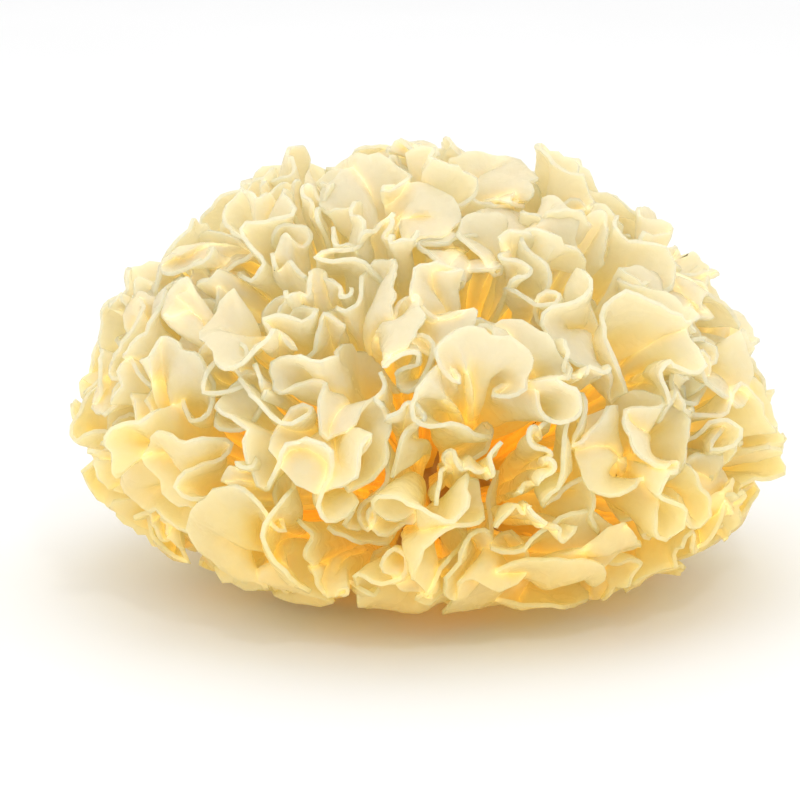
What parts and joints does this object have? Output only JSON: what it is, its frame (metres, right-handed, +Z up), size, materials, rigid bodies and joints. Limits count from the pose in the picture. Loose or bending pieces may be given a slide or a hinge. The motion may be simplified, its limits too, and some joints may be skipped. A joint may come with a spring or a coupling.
{
  "type": "snow fungus",
  "caption": "Soaked snow fungus head: a broad dome of wavy, folded, gelatinous fronds fanned out from a firm base with a flat cut to rest on.",
  "frame": {"origin": "on the flat cut under the base, in the middle of the head", "axes": "+Z up through the crown, +X to the right across the head as seen from its front, +Y towards its back"},
  "size_m": [0.18, 0.176, 0.111],
  "materials": {
    "base_flesh": "firm, matte yellow-brown flesh of the cut base",
    "frond_flesh": "wet, slightly see-through cream gel, paler at the margins and golden in the folds"
  },
  "bodies": {
    "root": {"base": "base_flesh", "frond_01": "frond_flesh", "frond_02": "frond_flesh", "frond_03": "frond_flesh", "frond_04": "frond_flesh", "frond_05": "frond_flesh", "frond_06": "frond_flesh", "frond_07": "frond_flesh", "frond_08": "frond_flesh", "frond_09": "frond_flesh", "frond_10": "frond_flesh", "frond_11": "frond_flesh", "frond_12": "frond_flesh", "frond_13": "frond_flesh", "frond_14": "frond_flesh", "frond_15": "frond_flesh", "frond_16": "frond_flesh", "frond_17": "frond_flesh", "frond_18": "frond_flesh", "frond_19": "frond_flesh", "frond_20": "frond_flesh", "frond_21": "frond_flesh", "frond_22": "frond_flesh", "frond_23": "frond_flesh", "frond_24": "frond_flesh", "frond_25": "frond_flesh", "frond_26": "frond_flesh", "frond_27": "frond_flesh", "frond_28": "frond_flesh", "frond_29": "frond_flesh", "frond_30": "frond_flesh", "frond_31": "frond_flesh", "frond_32": "frond_flesh", "frond_33": "frond_flesh", "frond_34": "frond_flesh", "frond_35": "frond_flesh", "frond_36": "frond_flesh", "frond_37": "frond_flesh", "frond_38": "frond_flesh", "frond_39": "frond_flesh", "frond_40": "frond_flesh", "frond_41": "frond_flesh", "frond_42": "frond_flesh"}
  },
  "joints": []
}
